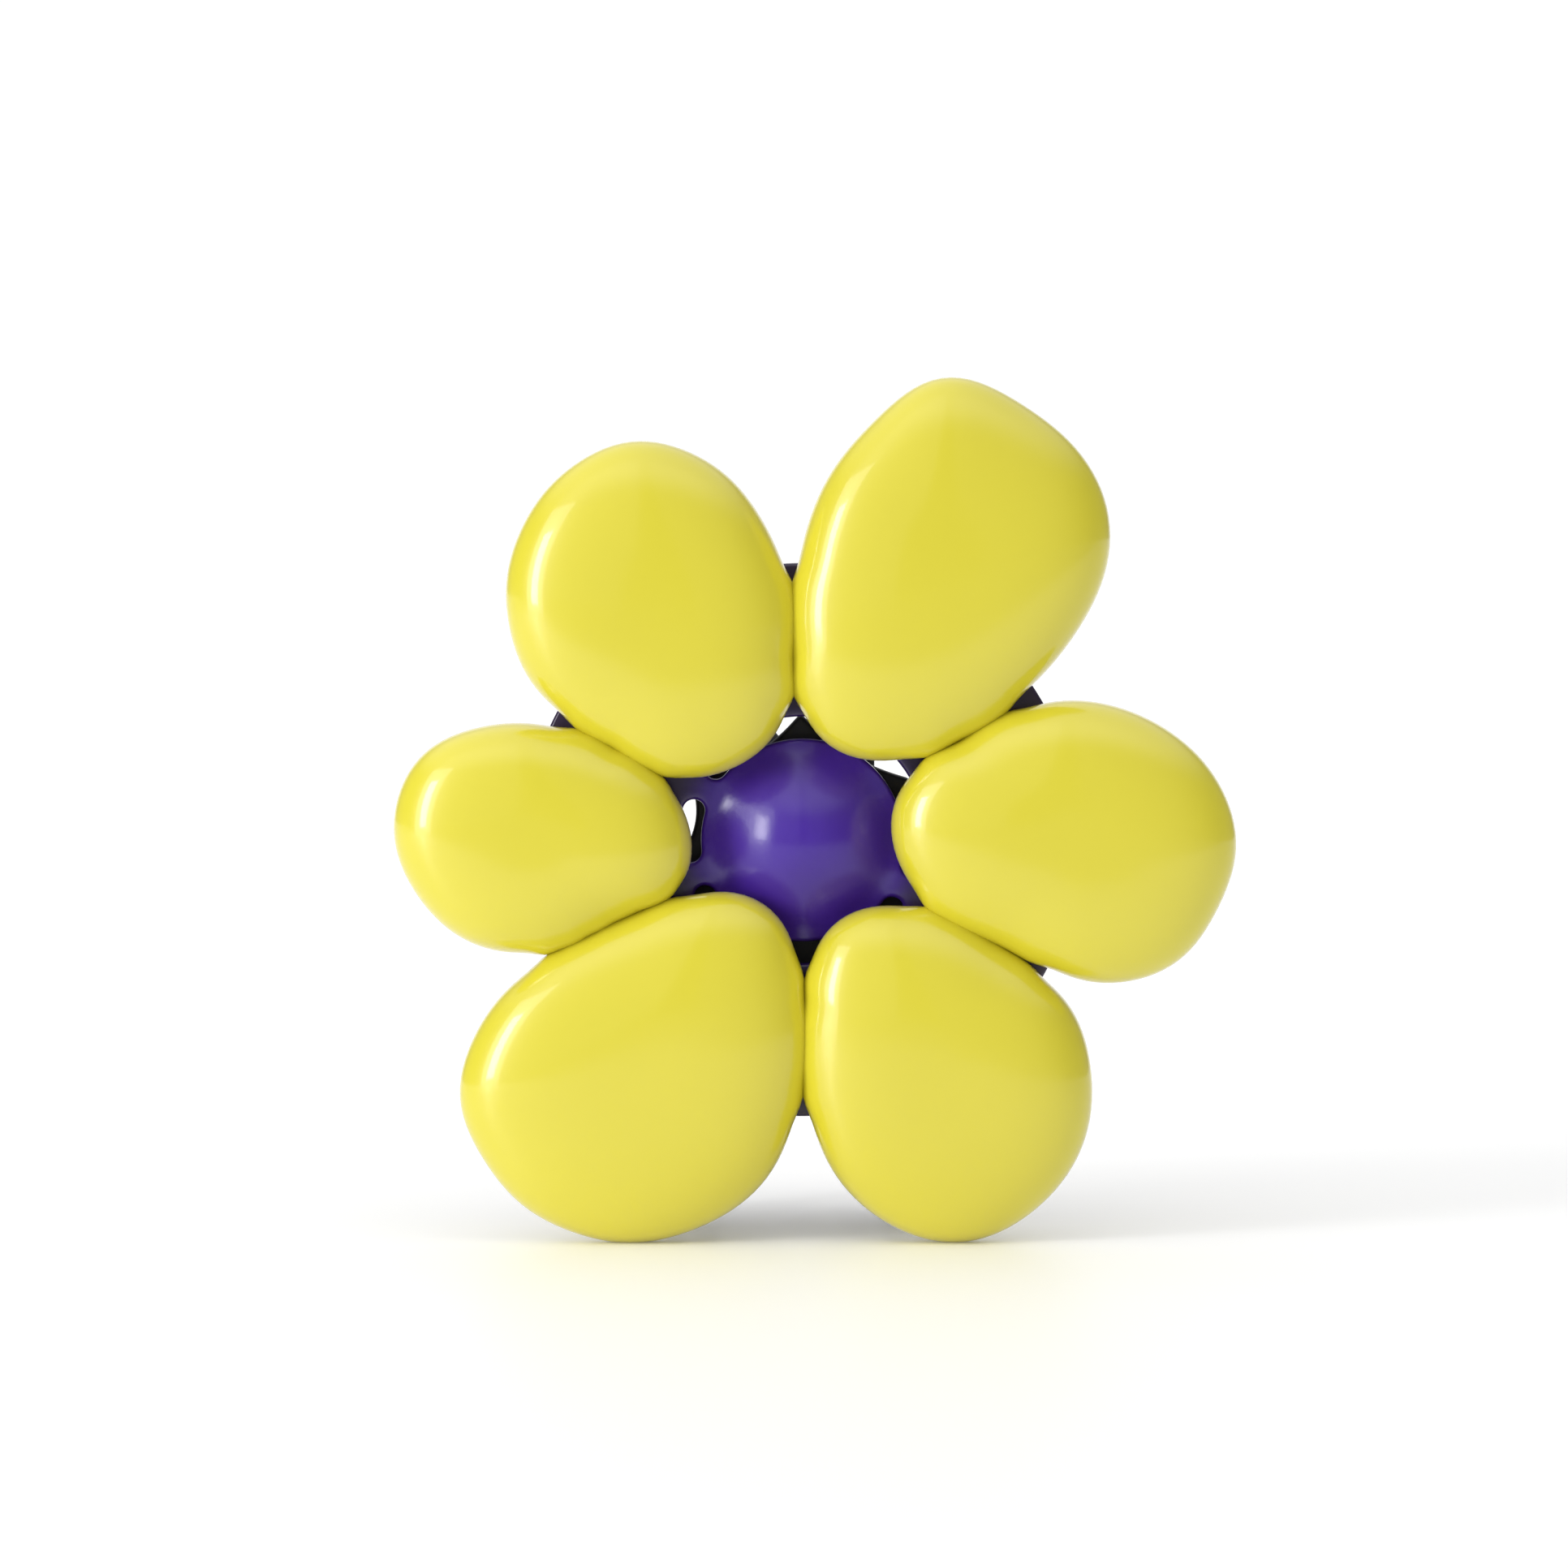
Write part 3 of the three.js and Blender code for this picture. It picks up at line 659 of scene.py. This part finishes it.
lever = {"lean": 25.6, "foot": (17.6, 6.2), "halfWidth": 8.0, "padHalf": 12.5, "padBottom": 19.5, "top": 28.6,
         "corner": 4.0, "windowHalf": 3.4, "windowBottom": 9.2, "windowTop": 18.4,
         "shoulder": ((17.6, 1.5), (20.2, -3.4), (27, -6), (33.2, -9.4)), "earEnd": 18, "earHalf": 3.4}
ribs = {"count": 3, "pitch": 1.6, "radius": 0.45, "half": 9.5, "firstBelowTop": 1.6, "offset": 1.05}
leverDir = np.array([math.sin(math.radians(lever["lean"])), math.cos(math.radians(lever["lean"]))])
leverFoot = np.array(lever["foot"])
leverLength = (lever["top"] - leverFoot[1]) / leverDir[1]


def rearJaw():
    # one wrapped sheet from the lever's pad, with its window, down to the comb, and two hinge ears
    top = leverFoot + leverDir * leverLength
    line = [tuple(top - leverDir * d) for d in (0, leverLength * 0.35, leverLength * 0.7)]
    line += [tuple(leverFoot), *lever["shoulder"]]
    line += [ellipsePoint(1, angle, claw["sheetHeight"]) for angle in range(0, 41, 8)]
    route = Route(line)
    s = lever
    highest = route.line[0, 1]

    def along(z):
        return route.atHeight(min(z, highest))
    pad, half = s["padHalf"], s["halfWidth"]
    edge, waist = along(s["top"]), along(s["padBottom"])
    side = np.vstack([bezier([(0, edge), (pad * 0.93, edge), (pad, along(s["top"] - 1)),
                              (pad, along(s["top"] - s["corner"]))], 30),
                      bezier([(pad, along(s["padBottom"] + 2)), (pad, waist), (half, waist),
                              (half, along(s["padBottom"] - s["corner"]))], 20),
                      combSide(route, -2.0, half)])
    r = s["windowHalf"]
    bottom, upper = along(s["windowBottom"]), along(s["windowTop"])
    window = np.vstack([arc(r, 0, 180, (0, bottom - r), 0.3), arc(r, 180, 360, (0, upper + r), 0.3)])
    outline, opening = resample(mirrored(side)), resample(window, 0.35)[::-1]
    pieces = [mouldedPlate("rearSheet", outline, [opening], claw["thick"], claw["edge"],
                           lambda u, v, w: route.wrap(u, v, w, claw["thick"]), blackPlastic)]
    barrel = arc(lugs["barrel"], 90, 270, (hinge[1], hinge[2]), 0.3)
    arm = np.vstack([barrel, [(hinge[1], hinge[2] - lugs["barrel"]), (s["earEnd"], hinge[2] - s["earHalf"]),
                              (s["earEnd"], hinge[2] + s["earHalf"])]])
    for way in (-1, 1):
        pieces.append(barrelArm("ear", way * lugs["rearInner"], way * lugs["rearOuter"], arm))
    return joinPieces("rear_jaw", pieces + teeth(1, 5))


frontClaw = frontJaw()
rearClaw = rearJaw()
print("jaws ready")


# turned parts
def turnedPart(name, profile, material, sides=40, along="y"):
    # profile in (radius, height); the height runs along y or x
    verts, faces = [], []
    for radius, height in profile:
        for k in range(sides):
            angle = 2 * math.pi * k / sides
            a, b = radius * math.cos(angle), radius * math.sin(angle)
            verts.append((a, height, b) if along == "y" else (height, a, b))
    for i in range(len(profile) - 1):
        for k in range(sides):
            after = (k + 1) % sides
            faces.append((i * sides + k, i * sides + after, (i + 1) * sides + after, (i + 1) * sides + k))
    piece = makePiece(name, np.array(verts) * mm, faces, material)
    return faceOutwards(piece)


def shift(piece, x, y, z):
    piece.data.transform(Matrix.Translation(Vector(fromHub((x, y, z)))))
    return piece


pin = {"radius": 1.0, "head": 1.7, "half": 9.9}


def makePin():
    r, head, h = pin["radius"], pin["head"], pin["half"]
    profile = [(0, -h - 0.6), (head * 0.7, -h - 0.58), (head * 0.93, -h - 0.45), (head, -h - 0.25),
               (head, -h - 0.08), (head * 0.95, -h), (r, -h), (r, h + 0.45), (0.9, h + 0.6), (0.6, h + 0.7),
               (0, h + 0.72)]
    return shift(turnedPart("hinge_pin", profile, steel, 40, "x"), 0, hinge[1], hinge[2])


def makeRetainer():
    # a push-on washer, dished over the pin's plain end
    h = pin["half"]
    profile = [(1.02, h + 0.05), (1.7, h + 0.02), (1.88, h + 0.12), (1.9, h + 0.28), (1.8, h + 0.42),
               (1.3, h + 0.55), (1.05, h + 0.58), (1.02, h + 0.05)]
    return shift(turnedPart("pin_retainer", profile, steel, 40, "x"), 0, hinge[1], hinge[2])


hingePin = makePin()
pinRetainer = makeRetainer()


# repeated parts, by geometry nodes
def patternTree(name):
    tree = bpy.data.node_groups.new(name, "GeometryNodeTree")
    face = tree.interface
    face.new_socket("Geometry", in_out="INPUT", socket_type="NodeSocketGeometry")
    for label, kind in (("Part", "NodeSocketObject"), ("Finish", "NodeSocketMaterial"),
                        ("Turn", "NodeSocketFloat"), ("Seed", "NodeSocketInt")):
        face.new_socket(label, in_out="INPUT", socket_type=kind)
    face.new_socket("Geometry", in_out="OUTPUT", socket_type="NodeSocketGeometry")
    nodes, links = tree.nodes, tree.links
    start, end = nodes.new("NodeGroupInput"), nodes.new("NodeGroupOutput")
    points = nodes.new("GeometryNodeMeshToPoints")
    part = nodes.new("GeometryNodeObjectInfo")
    spin = nodes.new("FunctionNodeRandomValue")
    spin.data_type = "FLOAT"
    turn = nodes.new("ShaderNodeCombineXYZ")
    put = nodes.new("GeometryNodeInstanceOnPoints")
    real = nodes.new("GeometryNodeRealizeInstances")
    coat = nodes.new("GeometryNodeSetMaterial")
    floats = [s for s in spin.inputs if s.type == "VALUE"]
    links.new(start.outputs["Geometry"], points.inputs["Mesh"])
    links.new(start.outputs["Part"], part.inputs["Object"])
    links.new(start.outputs["Turn"], floats[1])
    links.new(start.outputs["Seed"], spin.inputs["Seed"])
    links.new([s for s in spin.outputs if s.type == "VALUE"][0], turn.inputs["Y"])
    links.new(turn.outputs[0], put.inputs["Rotation"])
    links.new(points.outputs[0], put.inputs["Points"])
    links.new(part.outputs["Geometry"], put.inputs["Instance"])
    links.new(put.outputs[0], real.inputs[0])
    links.new(real.outputs[0], coat.inputs["Geometry"])
    links.new(start.outputs["Finish"], coat.inputs["Material"])
    links.new(coat.outputs[0], end.inputs[0])
    return tree


def bakePattern(name, tree, seats, part, finish, turn=0.0, seed=1):
    # part repeated at every seat, baked to a plain mesh
    holder = makePiece(name + "_seats", fromHub(seats), [])
    modifier = holder.modifiers.new("pattern", "NODES")
    modifier.node_group = tree
    values = {"Part": part, "Finish": finish, "Turn": turn, "Seed": seed}
    for item in tree.interface.items_tree:
        if item.in_out == "INPUT" and item.name in values:
            modifier[item.identifier] = values[item.name]
    bpy.context.view_layer.update()
    baked = bpy.data.meshes.new_from_object(holder.evaluated_get(bpy.context.evaluated_depsgraph_get()))
    holder.modifiers.clear()
    bpy.data.objects.remove(holder)
    bpy.data.objects.remove(part)
    baked.name = name
    baked.materials.clear()
    baked.materials.append(finish)
    baked.polygons.foreach_set("use_smooth", [True] * len(baked.polygons))
    piece = bpy.data.objects.new(name, baked)
    bpy.context.scene.collection.objects.link(piece)
    return piece


pattern = patternTree("seatedParts")
stakeHead = {"standsAbove": 0.9, "sides": 28}


def pegSeats():
    # two staked pegs for each petal, read from the heads on the CAD backs
    seats = []
    for name in petalNames:
        verts = np.array([v.co for v in frame["nodes"][name + "_back"].data.vertices])
        verts = (verts - hubSpot) / mm
        heads = verts[verts[:, 1] > plate["thick"] + stakeHead["standsAbove"]]
        reach = np.hypot(heads[:, 0], heads[:, 2])
        middle = (reach.min() + reach.max()) / 2
        for group in (heads[reach < middle], heads[reach >= middle]):
            low, high = group.min(0), group.max(0)
            seats.append(((low[0] + high[0]) / 2, plate["thick"], (low[2] + high[2]) / 2))
    return seats


stakeProfile = [(0, 0), (1.5, 0), (1.68, 0.15), (1.7, 0.4), (1.55, 0.75), (1.2, 1.0), (0.75, 1.12),
                (0.35, 1.0), (0, 0.95)]
stake = turnedPart("stake", stakeProfile, enamel, stakeHead["sides"])
stakes = bakePattern("petal_stakes", pattern, pegSeats(), stake, enamel)

screw = {"circle": 7.8, "angles": (90, 235, 305), "head": 1.8, "height": 1.2, "proud": 0.02,
         "cross": (0.95, 0.2), "crossDepth": 0.45, "crossMiddle": 0.9, "crossTaper": 0.55}


def crossScrew():
    s = screw
    r, high = s["head"], s["height"]
    profile = [(0, 0), (r * 0.97, 0), (r, 0.12), (r, 0.45), (r * 0.93, 0.75), (r * 0.78, 0.98),
               (r * 0.5, high - 0.06), (0, high)]
    head = turnedPart("screwHead", profile, steel, 40)
    cutter = bmesh.new()
    for wide, deep in (s["cross"], s["cross"][::-1]):
        made = bmesh.ops.create_cube(cutter, size=2.0)
        for vert in made["verts"]:
            x, y, z = vert.co
            narrow = s["crossTaper"] if y < 0 else 1.0
            height = s["crossMiddle"] + y * s["crossDepth"]
            vert.co = Vector((x * wide * narrow, height, z * deep * narrow)) * mm
    mesh = bpy.data.meshes.new("cross")
    cutter.to_mesh(mesh)
    cutter.free()
    cross = bpy.data.objects.new("cross", mesh)
    bpy.context.scene.collection.objects.link(cross)
    cut = head.modifiers.new("recess", "BOOLEAN")
    cut.operation = "DIFFERENCE"
    cut.use_self = True
    cut.object = cross
    bpy.context.view_layer.update()
    baked = bpy.data.meshes.new_from_object(head.evaluated_get(bpy.context.evaluated_depsgraph_get()))
    head.modifiers.clear()
    head.data = baked
    bpy.data.objects.remove(cross)
    baked.set_sharp_from_angle(angle=math.radians(35))
    return head


def screwSeats():
    behind = flange["front"] + flange["thick"] + screw["proud"]
    turns = [math.radians(angle) for angle in screw["angles"]]
    return [(screw["circle"] * math.cos(turn), behind, screw["circle"] * math.sin(turn)) for turn in turns]


screws = bakePattern("mount_screws", pattern, screwSeats(), crossScrew(), steel, 1.5, 4)


def gripBar():
    r, half = ribs["radius"], ribs["half"]
    profile = [(0, -half - r * 0.4), (r * 0.6, -half - r * 0.3), (r * 0.9, -half), (r, -half + r * 0.6),
               (r, half - r * 0.6), (r * 0.9, half), (r * 0.6, half + r * 0.3), (0, half + r * 0.4)]
    return turnedPart("rib", profile, blackPlastic, 16, "x")


def ribSeats():
    # across the outer face of the lever's pad, below its top edge
    outward = np.array([leverDir[1], -leverDir[0]])
    seats = []
    for i in range(ribs["count"]):
        up = leverLength - ribs["firstBelowTop"] - i * ribs["pitch"]
        spot = leverFoot + leverDir * up + outward * ribs["offset"]
        seats.append((0, spot[0], spot[1]))
    return seats


gripRibs = bakePattern("grip_ribs", pattern, ribSeats(), gripBar(), blackPlastic)

# torsion spring
spring = {"wire": 0.5, "radius": 2.4, "half": 3.6, "turns": 5, "start": 212.5, "end": 349.0, "sides": 14,
          "frontLeg": ((5.75, 9.3), (6.6, 7.9)), "rearLeg": ((15.6, 5.0), (15.9, 8.0))}


def springPath():
    s = spring
    points = [(-s["half"], y, z) for y, z in s["frontLeg"]]
    angles = np.linspace(s["start"], s["end"] + 360 * s["turns"], 40 * s["turns"])
    for i, degrees in enumerate(angles):
        x = -s["half"] + 2 * s["half"] * i / (len(angles) - 1)
        points.append((x, hinge[1] + s["radius"] * math.cos(math.radians(degrees)),
                       hinge[2] + s["radius"] * math.sin(math.radians(degrees))))
    return points + [(s["half"], y, z) for y, z in s["rearLeg"]]


def wireTree():
    tree = bpy.data.node_groups.new("coiledWire", "GeometryNodeTree")
    face = tree.interface
    face.new_socket("Geometry", in_out="INPUT", socket_type="NodeSocketGeometry")
    for label, kind in (("Wire", "NodeSocketFloat"), ("Sides", "NodeSocketInt"),
                        ("Finish", "NodeSocketMaterial")):
        face.new_socket(label, in_out="INPUT", socket_type=kind)
    face.new_socket("Geometry", in_out="OUTPUT", socket_type="NodeSocketGeometry")
    nodes, links = tree.nodes, tree.links
    start, end = nodes.new("NodeGroupInput"), nodes.new("NodeGroupOutput")
    toCurve = nodes.new("GeometryNodeMeshToCurve")
    circle = nodes.new("GeometryNodeCurvePrimitiveCircle")
    sweep = nodes.new("GeometryNodeCurveToMesh")
    real = nodes.new("GeometryNodeRealizeInstances")
    coat = nodes.new("GeometryNodeSetMaterial")
    sweep.inputs["Fill Caps"].default_value = True
    links.new(start.outputs["Geometry"], toCurve.inputs["Mesh"])
    links.new(start.outputs["Wire"], circle.inputs["Radius"])
    links.new(start.outputs["Sides"], circle.inputs["Resolution"])
    links.new(toCurve.outputs[0], sweep.inputs["Curve"])
    links.new(circle.outputs[0], sweep.inputs["Profile Curve"])
    links.new(sweep.outputs[0], real.inputs[0])
    links.new(real.outputs[0], coat.inputs["Geometry"])
    links.new(start.outputs["Finish"], coat.inputs["Material"])
    links.new(coat.outputs[0], end.inputs[0])
    return tree


def makeSpring():
    path = springPath()
    mesh = bpy.data.meshes.new("springPath")
    mesh.from_pydata([tuple(p) for p in fromHub(path)], [(i, i + 1) for i in range(len(path) - 1)], [])
    holder = bpy.data.objects.new("springPath", mesh)
    bpy.context.scene.collection.objects.link(holder)
    modifier = holder.modifiers.new("wire", "NODES")
    modifier.node_group = wireTree()
    values = {"Wire": spring["wire"] * mm, "Sides": spring["sides"], "Finish": steel}
    for item in modifier.node_group.interface.items_tree:
        if item.in_out == "INPUT" and item.name in values:
            modifier[item.identifier] = values[item.name]
    bpy.context.view_layer.update()
    baked = bpy.data.meshes.new_from_object(holder.evaluated_get(bpy.context.evaluated_depsgraph_get()))
    bpy.data.objects.remove(holder)
    baked.materials.clear()
    baked.materials.append(steel)
    piece = bpy.data.objects.new("torsion_spring", baked)
    bpy.context.scene.collection.objects.link(piece)
    faceOutwards(piece)
    baked.polygons.foreach_set("use_smooth", [True] * len(baked.polygons))
    return piece


torsionSpring = makeSpring()
print("small parts ready")

# who rides on what
for name, petal in zip(petalNames, petals):
    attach(petal, frontBody)
    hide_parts(name + "_front", name + "_back")
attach(stakes, frontBody)
for piece, node, body, finish in ((flowerPlate, "flower_plate", frontBody, "purple_plastic"),
                                  (frontClaw, "front_jaw", frontBody, "black_plastic"),
                                  (rearClaw, "rear_jaw", rearBody, "black_plastic"),
                                  (hingePin, "hinge_pin", frontBody, "steel"),
                                  (pinRetainer, "pin_retainer", frontBody, "steel")):
    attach(piece, body)
    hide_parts(node)
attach(gripRibs, rearBody)
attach(screws, frontBody)
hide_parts("mount_screw_1", "mount_screw_2", "mount_screw_3")
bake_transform(torsionSpring)
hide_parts("torsion_spring")

# studio
studio = {"distance": 0.72, "frameWidth": 0.1697, "elevation": 2.5, "aimX": -2.0, "aimZ": 6.1,
          "room": 0.22, "cove": 1.04, "ceiling": 0.95,
          "gap": 0.05, "leftPanel": 0.4, "rightPanel": 0.2,
          "paper": (4.0, 4.0), "paperFront": (-0.45, -0.24), "paperGlow": (0.09, 0.2),
          "glowDepth": (0.03, 0.3),
          "white": (0.96, 0.96, 0.96, 1), "shade": (0.94, 0.94, 0.945, 1), "grey": (0.48, 0.48, 0.48, 1),
          "lights": (("keyCore", -54, 0.13, 0.6, (0.10, 0.28), 10.0),
                     ("key", -55, 0.18, 0.64, (0.28, 0.5), 2.3))}


def softbox(name, spot, aim, size, power):
    light = bpy.data.lights.new(name, "AREA")
    light.shape = "RECTANGLE"
    light.size, light.size_y = size
    light.energy = power
    lamp = bpy.data.objects.new(name, light)
    lamp.location = spot
    lamp.rotation_euler = (Vector(aim) - Vector(spot)).to_track_quat("-Z", "Y").to_euler()
    bpy.context.scene.collection.objects.link(lamp)


def softRoom():
    # a bright cove behind; in front a soft white panel either side of a dim gap, and a dim right-hand side
    world = bpy.data.worlds.new("studio")
    world.use_nodes = True
    pad = NodePad(world.node_tree)
    where = pad.node("ShaderNodeTexCoord").outputs["Generated"]
    split = pad.node("ShaderNodeSeparateXYZ", {}, {0: where})
    x, y, z = (Signal(pad, split.outputs[axis]) for axis in "XYZ")
    s = studio
    facing = pad.between(y, -0.2, -0.5)
    left = pad.between(x, -s["gap"], -s["gap"] - 0.015) * s["leftPanel"]
    right = pad.between(x, s["gap"], s["gap"] + 0.02) * pad.between(x, 0.9, 0.35) * s["rightPanel"]
    ceiling = pad.between(z, 0.45, 0.8) * s["ceiling"]
    cove = pad.between(y, 0.7, 0.93)
    strength = ((left + right) * facing + ceiling + s["room"]) * (1 - cove) + cove * s["cove"]
    sky = pad.tree.nodes["Background"]
    pad.plug(sky.inputs["Color"], (1, 1, 1, 1))
    pad.plug(sky.inputs["Strength"], strength)
    return world


def layPaper():
    # one sheet, white under and behind the clip, turning grey well in front of it; on the table it glows as
    # painted light, more further back
    s = studio
    wide, far = s["paper"]
    mesh = bpy.data.meshes.new("tablePaper")
    mesh.from_pydata([(-wide, -far, 0), (wide, -far, 0), (wide, far, 0), (-wide, far, 0)], [], [(0, 1, 2, 3)])
    sheet = bpy.data.objects.new("tablePaper", mesh)
    bpy.context.scene.collection.objects.link(sheet)
    paint = Paint("tablePaper")
    depth = paint.node("ShaderNodeSeparateXYZ", {}, {0: paint.coords}).outputs["Y"]
    cloud = paint.noise(6, 2.0)
    onTable = paint.between(depth, *s["paperFront"])
    paper = paint.blendColors(onTable, s["grey"], paint.blendColors(cloud, s["white"], s["shade"]))
    # painted light: the paper on the table glows, faintly near the clip and more further back
    nearGlow, farGlow = ((level, level, level, 1) for level in s["paperGlow"])
    glow = paint.blendColors(paint.between(depth, *s["glowDepth"]), nearGlow, farGlow)
    paintedFloorGlow = paint.blendColors(onTable, (0, 0, 0, 1), glow)
    mesh.materials.append(paint.finish(Base_Color=paper, Emission_Color=paintedFloorGlow, Emission_Strength=1.0,
                                       Roughness=0.45 + cloud * 0.05))


def buildStudio():
    scene = bpy.context.scene
    aim = Vector(fromHub((studio["aimX"], 0, studio["aimZ"])))
    tilt = math.radians(studio["elevation"])
    camera = bpy.data.objects.new("camera", bpy.data.cameras.new("camera"))
    camera.location = aim + Vector((0, -math.cos(tilt), math.sin(tilt))) * studio["distance"]
    camera.rotation_euler = (math.pi / 2 - tilt, 0, 0)
    camera.data.sensor_width = 36
    camera.data.lens = 36 * studio["distance"] / studio["frameWidth"]
    camera.data.clip_start = 0.01
    scene.collection.objects.link(camera)
    scene.camera = camera
    scene.world = softRoom()
    middle = Vector(fromHub((0, 0, 0)))
    for name, azimuth, height, away, size, radiance in studio["lights"]:
        angle = math.radians(azimuth)
        spot = middle + Vector((math.sin(angle) * away, -math.cos(angle) * away, height))
        softbox(name, spot, middle, size, radiance * math.pi * size[0] * size[1])
    layPaper()
    scene.view_settings.view_transform = "Standard"
    scene.view_settings.look = "None"


buildStudio()
print("studio ready")
